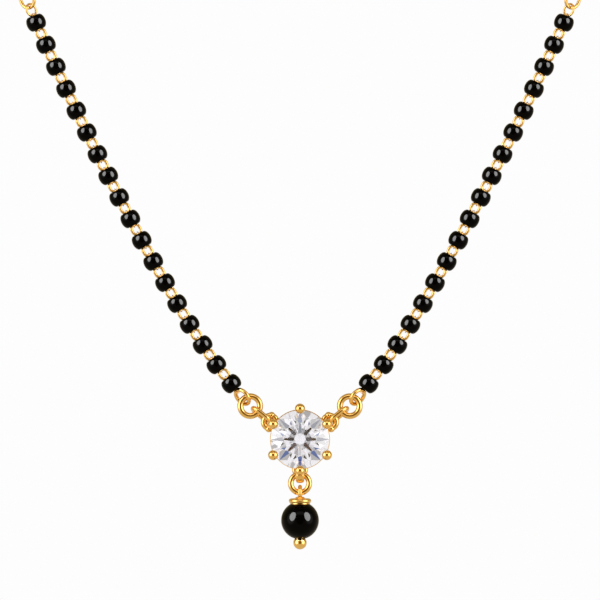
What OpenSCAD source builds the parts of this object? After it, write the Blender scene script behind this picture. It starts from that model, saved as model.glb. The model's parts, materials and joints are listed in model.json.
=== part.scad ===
// Mangalsutra necklace: two strings of black beads on wire, a round six-prong pendant with a bead
// drop, and a gold cable chain that closes the loop behind the neck. Millimetres.
// X runs to the wearer's left, +Z up, and the front of the pendant looks along -Y.
// The origin is the middle of the clasp, where the necklace sits on the nape.

/* [Bead strings] */
// Beads on each side
beads_a_side = 18; // [12:1:20]
// Outer diameter of a string bead
bead_d = 2.62; // [2.4:0.02:3]
// Height of a string bead along its hole
bead_h = 1.98; // [1.9:0.02:2.3]
// Diameter of the flat at each end of a string bead
bead_flat_d = 1.46; // [1.42:0.02:1.7]
// Length of the oval ring between two beads
ring_l = 1.75; // [1.7:0.05:1.9]
// Width of that ring
ring_w = 1.49; // [1.45:0.01:1.55]
// Wire of that ring
ring_wire = 0.38; // [0.34:0.02:0.42]
// How far a ring dips into the mouth of each bead
ring_dip = 0.25; // [0.19:0.02:0.27]
// Wire that runs through each bead and ends in an eye on both sides
pin_wire = 0.16; // [0.14:0.01:0.18]

/* [Links beside the pendant] */
// Outer diameter of the big jump ring on each side
jump_d = 3.44; // [3.3:0.02:3.8]
// Wire of the big jump ring
jump_wire = 0.82; // [0.7:0.02:0.84]
// Outer diameter of the link between the lowest bead and the jump ring
end_link_d = 2.8; // [2.7:0.02:3]
// Wire of that link
end_link_wire = 0.54; // [0.46:0.02:0.56]
// Length of the oval link between the jump ring and the setting
bar_link_l = 3.5; // [3.4:0.05:3.8]
// Width of that oval link
bar_link_w = 2.3; // [2.26:0.02:2.4]
// Wire of that oval link
bar_link_wire = 0.62; // [0.54:0.02:0.64]

/* [Stone] */
// Diameter of the round brilliant
stone_d = 7.8; // [7:0.1:9]
// Width of the table across its corners, as a share of the diameter
table_share = 0.56; // [0.5:0.01:0.62]
// Slope of the crown's main facets, in degrees
crown_slope = 34.5; // [31:0.5:36]
// Slope of the pavilion's main facets, in degrees
pavilion_slope = 41; // [40:0.5:42]
// Height of the girdle where the main facets meet it
girdle_h = 0.26; // [0.24:0.02:0.4]

/* [Setting] */
// Wire of the six prongs
prong_wire = 0.72; // [0.64:0.02:0.74]
// Diameter of the ball on each prong
prong_ball_d = 1.36; // [1.2:0.02:1.44]
// How far a prong bites over the stone's edge
prong_bite = 0.13; // [0.08:0.01:0.18]
// Wire of the rail under the stone
rail_wire = 0.5; // [0.4:0.02:0.6]
// How far the rail shows outside the stone
rail_show = 0.1; // [0.06:0.01:0.16]
// Diameter of the base ring, to the middle of its wire
base_ring_d = 5; // [4.4:0.1:5.6]
// Wire of the base ring
base_wire = 0.72; // [0.64:0.02:0.8]
// Outer diameter of the eye ring soldered behind each upper side prong
lug_d = 2.5; // [2.46:0.02:2.7]
// Wire of that eye ring
lug_wire = 0.8; // [0.7:0.02:0.82]
// Diameter of the two solder balls on each eye ring
lug_ball_d = 0.96; // [0.86:0.02:1]
// Width of the bail under the stone
bail_w = 1.14; // [1:0.02:1.2]
// Thickness of the bail
bail_t = 0.68; // [0.6:0.02:0.76]
// Outer diameter of the eye ring soldered behind the bail
bail_ring_d = 2.16; // [2:0.02:2.3]
// Wire of that eye ring
bail_ring_wire = 0.72; // [0.6:0.02:0.8]

/* [Drop] */
// Outer diameter of the ring that carries the drop
drop_ring_d = 3.24; // [3.1:0.02:3.6]
// Wire of that ring
drop_ring_wire = 0.78; // [0.68:0.02:0.8]
// Wire of the eye on the drop's cap
drop_eye_wire = 0.56; // [0.5:0.02:0.62]
// Diameter of the cap
cap_d = 3; // [2.8:0.05:3.3]
// Height of the cap's round rim
cap_rim = 0.68; // [0.6:0.02:0.8]
// Diameter of the drop's bead
drop_bead_d = 5.05; // [4.6:0.05:6]
// Diameter of the gold ball under the bead
end_ball_d = 1.78; // [1.5:0.02:2]
// Diameter of the head pin through the bead
head_pin_d = 0.64; // [0.56:0.02:0.8]

/* [Chain and clasp] */
// Outer diameter of the small link on the top bead of each string
top_link_d = 1.95; // [1.9:0.05:2.3]
// Wire of that small link
top_link_wire = 0.3; // [0.26:0.01:0.32]
// Length of a chain link
chain_link_l = 3.4; // [3.3:0.05:4]
// Width of a chain link
chain_link_w = 2.46; // [2.3:0.02:2.7]
// Wire of a chain link
chain_wire = 0.46; // [0.4:0.02:0.5]
// Distance from the front of the necklace to its back
neck_depth = 100; // [90:1:115]
// Height of the nape above the middle of the stone
neck_rise = 112; // [104:1:124]
// Outer diameter of the clasp
clasp_d = 5.9; // [5.4:0.1:7]
// Thickness of the clasp's ring
clasp_wire = 1.1; // [0.9:0.05:1.3]
// Outer diameter of the ring that the clasp hooks
clasp_ring_d = 3.4; // [3.2:0.05:4]
// Wire of that ring and of the clasp's own eye
clasp_ring_wire = 0.5; // [0.44:0.02:0.56]

/* [Hidden] */
// Space between links that hang in one another
link_gap = 0.1;
// Space round the wire in an eye
eye_gap = 0.05;
// How much wider the clasp's own eye is
clasp_eye_ease = 0.2;
// Space between the stone and its metal, and between the drop's bead and what holds it
seat_gap = 0.04;
// Space round the wire in a bead's hole
bore_gap = 0.1;
// Space round the ring and the eye in a bead's mouth
mouth_gap = 0.11;
// Space round the drop ring inside the bail and inside the drop's eye
hinge_gap = 0.12;
// Space between the head pin and the bores that hold it
pin_gap = 0.05;

// Leans of the string, in degrees from upright: at the jump ring, at the top beads, and at the chain
end_lean = 40.3;
top_lean = 23.9;
chain_lean = 20.5;
// The string straightens by this many degrees a bead, and more in the first few beads
lean_step = 0.43;
lean_flare = 7.4;
flare_beads = 1.9;
// Lean of the oval link, its roll, and how far the other links turn away from the front
bar_lean = 51.4;
bar_roll = -15;
end_link_turn = 54;
top_link_turn = -45;
chain_turn = 30;
// How far the chain's curve keeps going straight at the front and at the nape
front_reach = 50;
nape_reach = 56;
// Steps in which the chain's curve is measured
curve_steps = 240;

// Share of the crown that the star facets take, and of the pavilion that the lower halves take
star_share = 0.5;
lower_half_share = 0.78;
// Facets round the stone, and steps along the girdle in each of its halves
mains = 8;
girdle_steps = 4;

// Depth of the eye rings, the string and the drop behind the stone's girdle
string_y = 1.3;
drop_y = 1.3;
// How far the eye rings reach out from the stone's edge, and the bail's middle below it
lug_reach = 0.7;
hinge_reach = 0.75;
// Length of a prong's upright part behind the girdle
prong_upright = 0.36;
// How much thicker a prong is at its knee, and how much thinner below it
knee_swell = 0.04;
// How far the base ring stands proud of the stone's point
culet_cover = 0.15;
// Tilt of the solder balls on an eye ring, and how far they sit outside its wire's middle
lug_ball_tilt = 12;
lug_ball_out = 0.06;
// How far the small top link dips into the mouth of the top bead, and the end link into the lowest
top_dip = 0.15;
end_dip = 0.1;
// Place of the eye ring behind the bail, from the bail's middle
bail_ring_back = 1.1;
bail_ring_lift = 0.6;
// How much closer the drop's eye fits its ring, and how far it sinks into the cap
drop_eye_ease = 0.025;
eye_sink = 0.07;
// Depth of the drop's bead in its cap, and of the end ball in the bead
cap_seat = 0.07;
ball_seat = 0.42;
// Height of the cap's cone above its rim, its width at the eye, and its step in from the rim's middle
cap_cone = 0.56;
cap_neck_d = 0.9;
cap_rim_in = 0.05;
// Depth of the head pin in the cap
pin_hold = 0.28;
// Overlap of shapes that make one solid
weld = 0.01;

// Radii to the middle of a ring's wire
jump_r = (jump_d - jump_wire) / 2;
end_link_r = (end_link_d - end_link_wire) / 2;
lug_ring_r = (lug_d - lug_wire) / 2;
drop_ring_r = (drop_ring_d - drop_ring_wire) / 2;
top_link_r = (top_link_d - top_link_wire) / 2;
clasp_r = (clasp_d - clasp_wire) / 2;
clasp_ring_r = (clasp_ring_d - clasp_ring_wire) / 2;

// Wire-to-wire distance of two linked pieces, and how far from the first ring's middle it leaves the second
function hook(wire_a, wire_b) = (wire_a + wire_b) / 2 + link_gap;
function inside(r, wire_a, wire_b) = r - hook(wire_a, wire_b);
// More of it where one piece is turned well away from square to the other
turned_gap = 0.03;
// Eye that holds a wire: radius to the middle of its own wire
function eye_r(held, own) = held / 2 + eye_gap + own / 2;
// Unit vector with a lean from upright, in the plane of the string
function leant(lean) = [sin(lean), 0, cos(lean)];

// Number of the top bead, where the lowest is bead 0
last = beads_a_side - 1;
// Bead pitch, and places of the eyes along a bead's wire
pitch = bead_h + ring_l - 2 * ring_dip;
eye_at = pitch / 2 - (ring_l - ring_wire) / 2;
pin_eye_r = eye_r(ring_wire, pin_wire);
top_eye_r = eye_r(top_link_wire, pin_wire);
top_eye_at = bead_h / 2 - top_dip + top_link_wire / 2;
end_eye_r = eye_r(end_link_wire, pin_wire);
end_eye_at = bead_h / 2 - end_dip + end_link_wire / 2;

// Mouth of a bead: it clears the eye and the part of the ring that dips in
ring_chord = sqrt(pow(ring_w / 2, 2) - pow(ring_w / 2 - ring_dip, 2));
mouth_r = max(top_eye_r + pin_wire / 2, ring_chord) + mouth_gap;
mouth_floor = eye_at - pin_eye_r - pin_wire / 2 - mouth_gap;

stone_r = stone_d / 2;
crown_h = (stone_r - stone_r * table_share) * tan(crown_slope);
culet_z = -girdle_h / 2 - stone_r * tan(pavilion_slope);

// Prong and rail places, worked out so that both clear the stone by seat_gap
prong_at = stone_r + prong_wire / 2 - prong_bite;
prong_ball_z = girdle_h / 2
    + (prong_ball_d / 2 + seat_gap - (prong_at - stone_r) * sin(crown_slope)) / cos(crown_slope);
knee_z = -girdle_h / 2 - prong_upright;
rail_r = stone_r + rail_show - rail_wire / 2;
rail_z = -girdle_h / 2
    - (rail_wire / 2 + seat_gap + (stone_r - rail_r) * sin(pavilion_slope)) / cos(pavilion_slope);
base_z = culet_z - culet_cover + base_wire / 2;

// Middle of the eye ring, of the jump ring, of the end link and of the lowest bead, on the +X side
lug_at = (stone_r + lug_reach) * [cos(30), 0, sin(30)] + [0, string_y, 0];
bar_reach = inside(lug_ring_r, lug_wire, bar_link_wire) + bar_link_l - bar_link_wire;
jump_at = lug_at + (bar_reach + inside(jump_r, jump_wire, bar_link_wire)) * leant(bar_lean);
end_link_at = jump_at
    + (inside(jump_r, jump_wire, end_link_wire) - turned_gap + end_link_r) * leant(end_lean);
first_bead = end_link_at + end_link_r * leant(end_lean) + end_eye_at * leant(bead_lean(0));

// Lean between bead i and the next one, and of bead i itself, counted from the pendant
function lean(i) = top_lean + lean_step * (last - 1 - i) + lean_flare * exp(-i / flare_beads);
function bead_lean(i) = ((i == 0 ? end_lean : lean(i - 1)) + (i == last ? chain_lean : lean(i))) / 2;
bead_at = [for (i = 0, p = first_bead; i <= last; p = p + pitch * leant(lean(i)), i = i + 1) p];

// Small link on the top bead, and the start of the chain inside it
top_link_at = bead_at[last] + top_eye_at * leant(bead_lean(last)) + top_link_r * leant(chain_lean);
chain_start = top_link_at + inside(top_link_r, top_link_wire, chain_wire) * leant(chain_lean);

// Places of the drop's two hinges and of its pieces
hinge_z = -stone_r - hinge_reach;
bail_r = drop_ring_wire / 2 + hinge_gap + bail_t / 2;
drop_eye_r = drop_ring_wire / 2 + hinge_gap + drop_eye_wire / 2 - drop_eye_ease;
hinge_2_z = hinge_z - 2 * drop_ring_r;
cap_z = hinge_2_z - drop_eye_r - drop_eye_wire / 2 - eye_sink;
drop_bead_z = cap_z - cap_seat - drop_bead_d / 2;
end_ball_z = drop_bead_z - drop_bead_d / 2 - end_ball_d / 2 + ball_seat;

// Clasp row along X: chain end, eye, clasp, ring, chain end
clasp_eye_r = eye_r(chain_wire, clasp_ring_wire) + clasp_eye_ease;
eye_hold = inside(clasp_eye_r, clasp_ring_wire, chain_wire);
eye_to_clasp = clasp_r + clasp_eye_r + 0.7 * clasp_wire / 2;
clasp_to_ring = clasp_r + clasp_ring_r - hook(clasp_wire, clasp_ring_wire);
ring_hold = inside(clasp_ring_r, clasp_ring_wire, chain_wire);
nape_half = (eye_hold + eye_to_clasp + clasp_to_ring + ring_hold) / 2;
clasp_x = eye_hold + eye_to_clasp - nape_half;

// The pendant's place in the necklace's own frame
pendant_at = [0, -neck_depth, -neck_rise];

// Curve of the hidden chain on the +X side: a cubic that leaves the string straight and meets the
// nape level, with a table of the length run at each step
curve_points = [
    pendant_at + chain_start,
    pendant_at + chain_start + front_reach * leant(chain_lean),
    [nape_half + nape_reach, 0, 0],
    [nape_half, 0, 0]
];
function curve(t) = pow(1 - t, 3) * curve_points[0] + 3 * pow(1 - t, 2) * t * curve_points[1]
    + 3 * (1 - t) * pow(t, 2) * curve_points[2] + pow(t, 3) * curve_points[3];
function curve_step(i) = norm(curve(min(i + 1, curve_steps) / curve_steps) - curve(i / curve_steps));
curve_run = [for (i = 0, s = 0; i <= curve_steps; s = s + curve_step(i), i = i + 1) [s, i / curve_steps]];
curve_l = curve_run[curve_steps][0];
function along(s) = curve(lookup(s, curve_run));

// Links of the chain on each side, spaced evenly and never tighter than link_gap
chain_span = chain_link_l - chain_wire;
chain_links = 1 + ceil((curve_l - chain_span) / (chain_link_l - 2 * chain_wire - link_gap));
chain_pitch = (curve_l - chain_span) / (chain_links - 1);

// Turn of chain link i: each is square to the one before, with a slow twist that ends at end_turn
function twist(end_turn) = ((end_turn - chain_turn - 90 * (chain_links - 1)) % 180 + 270) % 180 - 90;
function link_turn(i, end_turn) = chain_turn + 90 * i + twist(end_turn) * i / (chain_links - 1);

function two_digits(i) = str(i < 10 ? "0" : "", i);
SIDES = ["left", "right"];

$fn = 64;
gold = "#d9a441";
black = "#141416";

// Ring of round wire about +Z, by the radius to the middle of its wire
module ring(r, wire) {
    rotate_extrude() translate([r, 0]) circle(d = wire);
}

// Oval link of round wire, its length along +Z and its face towards -Y
module oval_link(length, width, wire) {
    r = (width - wire) / 2;
    straight = length - width;
    rotate([90, 0, 0]) {
        translate([0, straight / 2, 0]) rotate_extrude(angle = 180) translate([r, 0]) circle(d = wire);
        translate([0, -straight / 2, 0]) rotate([0, 0, 180])
            rotate_extrude(angle = 180) translate([r, 0]) circle(d = wire);
        for (x = [-r, r])
            translate([x, straight / 2, 0]) rotate([90, 0, 0]) cylinder(h = straight, d = wire);
    }
}

// Rod of round wire from p to q
module rod(p, q, wire) {
    v = q - p;
    translate(p) rotate([0, acos(v.z / norm(v)), atan2(v.y, v.x)]) cylinder(h = norm(v), d = wire);
}

// Places a piece that is built along +Z and faces -Y: leant from upright and turned about its length
module hung(p, lean, turn = 0) {
    translate(p) rotate([0, lean, 0]) rotate([0, 0, turn]) children();
}

// Ring that faces -Y, for hung()
module facing_ring(r, wire) {
    rotate([90, 0, 0]) ring(r, wire);
}

// Puts a piece in the pendant's place, on the named side of the necklace
module on_side(side) {
    mirror([side == "left" ? 1 : 0, 0, 0]) children();
}

// Round brilliant about +Z with its table up: corners of each level, then the facets between them
function level(count, first, r, z) =
    [for (k = [0 : count - 1]) [r * cos(first + 360 * k / count), r * sin(first + 360 * k / count), z]];
// Height at [x, y] of the plane through three points
function plane_z(a, b, c, x, y) =
    let (n = cross(b - a, c - a)) a.z - (n.x * (x - a.x) + n.y * (y - a.y)) / n.z;
// Girdle edge on one side of the stone, cut by the half facets that meet at the given corners
function girdle(corners, z) = [
    for (k = [0 : mains - 1], h = [0, 1], j = [0 : girdle_steps - 1])
        let (half = 180 / mains, a0 = (2 * k + h) * half, a1 = a0 + half, a = a0 + half * j / girdle_steps,
            p = stone_r * [cos(a), sin(a)])
        [p.x, p.y, plane_z(corners[k], [stone_r * cos(a0), stone_r * sin(a0), z],
            [stone_r * cos(a1), stone_r * sin(a1), z], p.x, p.y)]
];

module brilliant() {
    half = 180 / mains;
    table_r = stone_r * table_share;
    star_r = table_r * cos(half) * (1 - star_share) + stone_r * star_share;
    star_z = girdle_h / 2 + (stone_r - star_r * cos(half)) * tan(crown_slope);
    meet_r = stone_r * (1 - lower_half_share);
    meet_z = -girdle_h / 2 - (stone_r - meet_r * cos(half)) * tan(pavilion_slope);
    table = level(mains, 0, table_r, girdle_h / 2 + crown_h);
    stars = level(mains, half, star_r, star_z);
    meets = level(mains, half, meet_r, meet_z);
    round_steps = 2 * mains * girdle_steps;
    points = concat(table, stars, girdle(stars, girdle_h / 2), girdle(meets, -girdle_h / 2), meets,
        [[0, 0, culet_z]]);
    // First index of each level
    star_0 = mains;
    top_0 = 2 * mains;
    low_0 = top_0 + round_steps;
    meet_0 = low_0 + round_steps;
    culet = meet_0 + mains;
    function top(j) = top_0 + j % round_steps;
    function low(j) = low_0 + j % round_steps;
    step = 2 * girdle_steps;
    faces = concat(
        [[for (k = [mains - 1 : -1 : 0]) k]],
        [for (k = [0 : mains - 1]) [k, (k + 1) % mains, star_0 + k]],
        [for (k = [0 : mains - 1]) [k, star_0 + k, top(step * k), star_0 + (k + mains - 1) % mains]],
        [for (k = [0 : mains - 1], h = [0, 1])
            concat([star_0 + k], [for (j = [girdle_steps : -1 : 0]) top(step * k + girdle_steps * h + j)])],
        [for (j = [0 : round_steps - 1]) [low(j), top(j), top(j + 1), low(j + 1)]],
        [for (k = [0 : mains - 1], h = [0, 1])
            concat([meet_0 + k], [for (j = [0 : girdle_steps]) low(step * k + girdle_steps * h + j)])],
        [for (k = [0 : mains - 1]) [culet, meet_0 + (k + mains - 1) % mains, low(step * k), meet_0 + k]]
    );
    polyhedron(points = points, faces = faces, convexity = 2);
}

// Room that the metal leaves for the stone, about +Z
module stone_room() {
    out = stone_r + seat_gap;
    rotate_extrude() polygon([
        [0, -girdle_h / 2 - out * tan(pavilion_slope)],
        [out, -girdle_h / 2],
        [out, girdle_h / 2],
        [out - crown_h / tan(crown_slope), girdle_h / 2 + crown_h],
        [0, girdle_h / 2 + crown_h]
    ]);
}

// One prong: ball over the girdle, upright stem, knee, and a leg that leans in to the base ring
module prong(angle) {
    rotate([0, 0, angle]) {
        translate([prong_at, 0, prong_ball_z]) sphere(d = prong_ball_d);
        rod([prong_at, 0, knee_z], [prong_at, 0, prong_ball_z], prong_wire);
        translate([prong_at, 0, knee_z]) sphere(d = prong_wire + knee_swell);
        rod([prong_at, 0, knee_z], [base_ring_d / 2, 0, base_z], prong_wire - knee_swell);
    }
}

// Eye ring of the setting on the +X side, with its two solder balls
module lug() {
    translate(lug_at) {
        facing_ring(lug_ring_r, lug_wire);
        for (a = [90, 270])
            rotate([0, -a - lug_ball_tilt, 0]) translate([lug_ring_r + lug_ball_out, 0, 0])
                sphere(d = lug_ball_d);
    }
}

// Loop of flat round-edged band that carries the drop ring, its hole along X, and the eye ring behind it
module bail() {
    half_flat = (bail_w - bail_t) / 2;
    translate([0, drop_y, hinge_z]) {
        rotate([0, 90, 0]) rotate_extrude() translate([bail_r, 0]) {
            square([bail_t, 2 * half_flat], center = true);
            for (y = [-half_flat, half_flat]) translate([0, y]) circle(d = bail_t);
        }
        translate([0, bail_ring_back, bail_ring_lift])
            facing_ring((bail_ring_d - bail_ring_wire) / 2, bail_ring_wire);
    }
}

module setting() {
    color(gold) translate(pendant_at) difference() {
        union() {
            rotate([90, 0, 0]) {
                for (k = [0 : 5]) prong(30 + 60 * k);
                translate([0, 0, rail_z]) ring(rail_r, rail_wire);
                translate([0, 0, base_z]) ring(base_ring_d / 2, base_wire);
            }
            for (side = SIDES) on_side(side) lug();
            bail();
        }
        rotate([90, 0, 0]) stone_room();
    }
}

module stone() {
    color("#e8eaf0") translate(pendant_at) rotate([90, 0, 0]) brilliant();
}

module drop_ring() {
    color(gold) translate(pendant_at + [0, drop_y, hinge_z - drop_ring_r])
        facing_ring(drop_ring_r, drop_ring_wire);
}

// Cap with its eye: round rim, cone, and a hollow for the bead and the head pin
module drop_cap() {
    color(gold) translate(pendant_at + [0, drop_y, 0]) difference() {
        union() {
            translate([0, 0, hinge_2_z]) rotate([0, 90, 0]) ring(drop_eye_r, drop_eye_wire);
            translate([0, 0, cap_z]) {
                ring(cap_d / 2 - cap_rim / 2, cap_rim);
                translate([0, 0, -0.45 * cap_rim]) cylinder(h = 0.85 * cap_rim, r = cap_d / 2 - cap_rim / 2);
                translate([0, 0, 0.4 * cap_rim - weld])
                    cylinder(h = cap_cone - 0.4 * cap_rim, r1 = (cap_d - cap_rim) / 2 - cap_rim_in, d2 = cap_neck_d);
            }
        }
        translate([0, 0, drop_bead_z]) {
            sphere(d = drop_bead_d + 2 * seat_gap);
            cylinder(h = drop_bead_d / 2 + pin_hold + pin_gap, d = head_pin_d + 2 * pin_gap);
        }
    }
}

// Black bead of the drop, drilled for the head pin and dished for the ball under it
module drop_bead() {
    color(black) translate(pendant_at + [0, drop_y, 0]) difference() {
        translate([0, 0, drop_bead_z]) sphere(d = drop_bead_d);
        translate([0, 0, drop_bead_z - drop_bead_d]) cylinder(h = 2 * drop_bead_d, d = head_pin_d + 2 * pin_gap);
        translate([0, 0, end_ball_z]) sphere(d = end_ball_d + 2 * seat_gap);
    }
}

module head_pin() {
    color(gold) translate(pendant_at + [0, drop_y, end_ball_z]) {
        sphere(d = end_ball_d);
        cylinder(h = drop_bead_z + drop_bead_d / 2 + pin_hold - end_ball_z, d = head_pin_d);
    }
}

module bar_link(side) {
    color(gold) translate(pendant_at) on_side(side)
        hung(lug_at + (bar_reach - (bar_link_l - bar_link_wire) / 2) * leant(bar_lean), bar_lean, 90 + bar_roll)
            oval_link(bar_link_l, bar_link_w, bar_link_wire);
}

module jump_ring(side) {
    color(gold) translate(pendant_at) on_side(side) hung(jump_at, 0) facing_ring(jump_r, jump_wire);
}

module end_link(side) {
    color(gold) translate(pendant_at) on_side(side)
        hung(end_link_at, end_lean, end_link_turn) facing_ring(end_link_r, end_link_wire);
}

// Bead about +Z: bulging side, flat ends, a mouth at each end and a fine hole between them
module string_bead() {
    flat_r = bead_flat_d / 2;
    difference() {
        rotate_extrude() polygon(concat(
            [[0, -bead_h / 2]],
            [for (a = [-90 : 15 : 90]) [flat_r + (bead_d / 2 - flat_r) * cos(a), bead_h / 2 * sin(a)]],
            [[0, bead_h / 2]]
        ));
        translate([0, 0, -bead_h]) cylinder(h = 2 * bead_h, d = pin_wire + 2 * bore_gap);
        translate([0, 0, mouth_floor]) cylinder(h = bead_h, r = mouth_r);
        translate([0, 0, -mouth_floor - bead_h]) cylinder(h = bead_h, r = mouth_r);
    }
}

module bead(side, i) {
    color(black) translate(pendant_at) on_side(side) hung(bead_at[i], bead_lean(i)) string_bead();
}

// Wire of one bead: a straight pin with an eye at each end, each eye square to the link it holds
module bead_wire(i) {
    low_r = i == 0 ? end_eye_r : pin_eye_r;
    low_at = i == 0 ? end_eye_at : eye_at;
    low_turn = i == 0 ? end_link_turn + 90 : 90;
    top_r = i == last ? top_eye_r : pin_eye_r;
    top_at = i == last ? top_eye_at : eye_at;
    top_turn = i == last ? top_link_turn + 90 : 90;
    hung(bead_at[i], bead_lean(i)) {
        translate([0, 0, -low_at + low_r]) cylinder(h = low_at - low_r + top_at - top_r, d = 0.9 * pin_wire);
        translate([0, 0, -low_at]) rotate([0, 0, low_turn]) facing_ring(low_r, pin_wire);
        translate([0, 0, top_at]) rotate([0, 0, top_turn]) facing_ring(top_r, pin_wire);
    }
}

module bead_wires(side) {
    color(gold) translate(pendant_at) on_side(side) for (i = [0 : last]) bead_wire(i);
}

module ring_links(side) {
    color(gold) translate(pendant_at) on_side(side)
        for (i = [1 : last]) hung((bead_at[i - 1] + bead_at[i]) / 2, lean(i - 1)) oval_link(ring_l, ring_w, ring_wire);
}

module top_link(side) {
    color(gold) translate(pendant_at) on_side(side)
        hung(top_link_at, chain_lean, top_link_turn) facing_ring(top_link_r, top_link_wire);
}

// Puts a link that is built along +Z on the curve, centred at length s and turned about the curve
module on_curve(s, turn) {
    z = along(s + chain_span / 2) - along(s - chain_span / 2);
    t = z / norm(z);
    side = cross(t, [0, 1, 0]) / norm(cross(t, [0, 1, 0]));
    x = cos(turn) * side + sin(turn) * cross(t, side);
    y = cross(t, x);
    p = along(s);
    multmatrix([[x.x, y.x, t.x, p.x], [x.y, y.y, t.y, p.y], [x.z, y.z, t.z, p.z], [0, 0, 0, 1]]) children();
}

// The clasp's eye lies in the XZ plane and the ring that it hooks in the XY plane, so the last links differ
module chain(side) {
    end_turn = side == "left" ? 90 : 0;
    color(gold) on_side(side) for (i = [0 : chain_links - 1])
        on_curve(chain_span / 2 + chain_pitch * i, link_turn(i, end_turn))
            oval_link(chain_link_l, chain_link_w, chain_wire);
}

// Plain closed spring-ring shape with its own eye on the -X side and a thumb knob on top
module clasp() {
    color(gold) translate([clasp_x, 0, 0]) {
        facing_ring(clasp_r, clasp_wire);
        translate([-eye_to_clasp, 0, 0]) facing_ring(clasp_eye_r, clasp_ring_wire);
        rotate([0, -35, 0]) translate([0, 0, clasp_r]) cylinder(h = clasp_wire, d = 0.8 * clasp_wire);
    }
}

module clasp_ring() {
    color(gold) translate([clasp_x + clasp_to_ring, 0, 0]) ring(clasp_ring_r, clasp_ring_wire);
}

setting();
stone();
drop_ring();
drop_cap();
drop_bead();
head_pin();
clasp();
clasp_ring();
for (side = SIDES) {
    bar_link(side);
    jump_ring(side);
    end_link(side);
    bead_wires(side);
    ring_links(side);
    top_link(side);
    chain(side);
    for (i = [0 : last])
        bead(side, i);
}
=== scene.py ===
"""Studio scene of a mangalsutra necklace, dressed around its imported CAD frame.

Every surface is worked out in millimetres, in the CAD model's own frame, from the sizes that the
solids have, and put into the meshes in metres. X runs to the wearer's left, +Z up, and the front of
the pendant looks along -Y. The origin is the middle of the clasp at the nape.
"""

import json
import logging
import math
from dataclasses import dataclass
from enum import Enum
from functools import cached_property

import bmesh
import bpy
import numpy as np
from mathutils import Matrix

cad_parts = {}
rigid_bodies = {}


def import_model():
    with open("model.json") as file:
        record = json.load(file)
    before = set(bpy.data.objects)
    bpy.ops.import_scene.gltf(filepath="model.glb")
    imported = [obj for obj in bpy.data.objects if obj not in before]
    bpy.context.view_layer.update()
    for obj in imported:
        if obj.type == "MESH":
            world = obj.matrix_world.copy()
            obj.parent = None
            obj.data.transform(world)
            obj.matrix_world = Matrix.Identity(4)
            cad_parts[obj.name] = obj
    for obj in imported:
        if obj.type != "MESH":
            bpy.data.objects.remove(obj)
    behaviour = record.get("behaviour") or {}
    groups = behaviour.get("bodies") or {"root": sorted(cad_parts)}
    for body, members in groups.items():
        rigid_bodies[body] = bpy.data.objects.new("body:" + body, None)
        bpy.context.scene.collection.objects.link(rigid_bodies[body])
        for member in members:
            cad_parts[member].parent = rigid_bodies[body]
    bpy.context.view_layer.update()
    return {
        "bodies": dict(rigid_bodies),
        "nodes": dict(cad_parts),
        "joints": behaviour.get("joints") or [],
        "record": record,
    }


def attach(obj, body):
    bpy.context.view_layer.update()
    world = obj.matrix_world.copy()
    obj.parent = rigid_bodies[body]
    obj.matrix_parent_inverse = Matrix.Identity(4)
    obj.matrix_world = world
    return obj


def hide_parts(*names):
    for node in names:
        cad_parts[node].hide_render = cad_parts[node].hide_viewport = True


log = logging.getLogger("necklace")

Colour = tuple[float, float, float, float]
Stops = tuple[tuple[float, tuple[float, float, float]], ...]

MM = 0.001
# Distance in metres up to which two points are merged
MERGE_M = 1e-8
# Angle above which an edge stays crisp, such as the rim of a drilled hole
SHARP_DEG = 40.0
# Middle of the stone in the necklace's frame
PENDANT_AT = np.array([0.0, -100.0, -112.0])
BLACK = (0.0, 0.0, 0.0, 1.0)
# The values between which most of a noise lies
NOISE_SPAN = {"From Min": 0.3, "From Max": 0.7}


class Side(Enum):
    """Half of the necklace. The right one is on +X, and the left one is its mirror."""

    LEFT = "left"
    RIGHT = "right"


class Body(Enum):
    """Rigid body of the CAD model that a piece moves with."""

    NECKLACE = "necklace"
    HANGER = "hanger"
    DROP = "drop"


# Turns and directions


def turn_x(degrees: float) -> np.ndarray:
    """Returns the matrix of a right-handed turn about X."""
    c, s = math.cos(math.radians(degrees)), math.sin(math.radians(degrees))
    return np.array([[1, 0, 0], [0, c, -s], [0, s, c]])


def turn_y(degrees: float) -> np.ndarray:
    """Returns the matrix of a right-handed turn about Y."""
    c, s = math.cos(math.radians(degrees)), math.sin(math.radians(degrees))
    return np.array([[c, 0, s], [0, 1, 0], [-s, 0, c]])


def turn_z(degrees: float) -> np.ndarray:
    """Returns the matrix of a right-handed turn about Z."""
    c, s = math.cos(math.radians(degrees)), math.sin(math.radians(degrees))
    return np.array([[c, -s, 0], [s, c, 0], [0, 0, 1]])


def leant(degrees: float) -> np.ndarray:
    """Returns the unit vector with a lean from upright, in the plane of the strings."""
    return np.array([math.sin(math.radians(degrees)), 0.0, math.cos(math.radians(degrees))])


# Surfaces


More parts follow.
